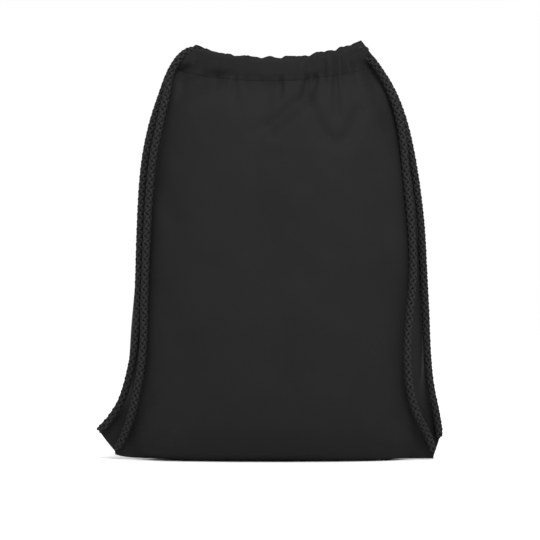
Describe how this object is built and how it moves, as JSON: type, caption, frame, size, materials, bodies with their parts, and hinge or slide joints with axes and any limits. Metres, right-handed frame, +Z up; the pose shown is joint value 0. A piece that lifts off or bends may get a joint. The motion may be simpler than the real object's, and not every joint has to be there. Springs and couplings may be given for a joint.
{
  "type": "drawstring backpack",
  "caption": "Black cloth drawstring backpack, lightly filled and standing, with a gathered mouth and braided shoulder cords sewn into its bottom corners.",
  "frame": {"origin": "on the floor under the middle of the bag, cords left out", "axes": "+Z up, from the bottom seam to the mouth; -Y is the front; +X is to the right as seen from the front"},
  "size_m": [0.346, 0.1188, 0.4176],
  "materials": {
    "cloth": "satin",
    "cord": "matte"
  },
  "bodies": {
    "bag": {"back_casing_left": "cloth", "back_casing_right": "cloth", "back_panel": "cloth", "bottom_seam_allowance": "cloth", "front_casing_left": "cloth", "front_casing_right": "cloth", "front_panel": "cloth", "left_cord_back_run_left": "cord", "left_cord_back_run_right": "cord", "left_cord_front_run_left": "cord", "left_cord_front_run_right": "cord", "left_cord_turn": "cord", "left_corner_tab": "cloth", "left_seam_allowance": "cloth", "right_cord_back_run_left": "cord", "right_cord_back_run_right": "cord", "right_cord_front_run_left": "cord", "right_cord_front_run_right": "cord", "right_cord_turn": "cord", "right_corner_tab": "cloth", "right_seam_allowance": "cloth"},
    "front_mouth": {"front_casing_middle": "cloth", "front_mouth_flap": "cloth", "left_cord_front_run_middle": "cord", "right_cord_front_run_middle": "cord"},
    "back_mouth": {"back_casing_middle": "cloth", "back_mouth_flap": "cloth", "left_cord_back_run_middle": "cord", "right_cord_back_run_middle": "cord"},
    "left_front_cord": {"left_front_strand": "cord"},
    "left_rear_cord": {"left_rear_strand": "cord"},
    "right_front_cord": {"right_front_strand": "cord"},
    "right_rear_cord": {"right_rear_strand": "cord"}
  },
  "joints": [
    {"name": "front_mouth_opens", "type": "hinge", "parent": "bag", "child": "front_mouth", "pos_m": [0.005, -0.0485, 0.3], "axis": [1, 0, 0], "range_deg": [0, 14]},
    {"name": "back_mouth_opens", "type": "hinge", "parent": "bag", "child": "back_mouth", "pos_m": [0.005, 0.0485, 0.3], "axis": [-1, 0, 0], "range_deg": [0, 14]},
    {"name": "left_front_cord_swings", "type": "hinge", "parent": "bag", "child": "left_front_cord", "pos_m": [-0.08, -0.007, 0.409], "axis": [-0.1749, -0.0005, -0.9846], "range_deg": [0, 30]},
    {"name": "left_rear_cord_swings", "type": "hinge", "parent": "bag", "child": "left_rear_cord", "pos_m": [-0.08, 0.0065, 0.409], "axis": [-0.2266, -0.0348, -0.9734], "range_deg": [0, 37.5]},
    {"name": "right_front_cord_swings", "type": "hinge", "parent": "bag", "child": "right_front_cord", "pos_m": [0.092, -0.0065, 0.402], "axis": [-0.1763, 0.002, 0.9843], "range_deg": [0, 30]},
    {"name": "right_rear_cord_swings", "type": "hinge", "parent": "bag", "child": "right_rear_cord", "pos_m": [0.092, 0.0065, 0.402], "axis": [-0.2015, 0.0353, 0.9788], "range_deg": [0, 37.5]}
  ],
  "couplings": [
    {"joint": "back_mouth_opens", "follows": "front_mouth_opens", "ratio": 1},
    {"joint": "left_rear_cord_swings", "follows": "left_front_cord_swings", "ratio": 1.25},
    {"joint": "right_rear_cord_swings", "follows": "right_front_cord_swings", "ratio": 1.25}
  ]
}
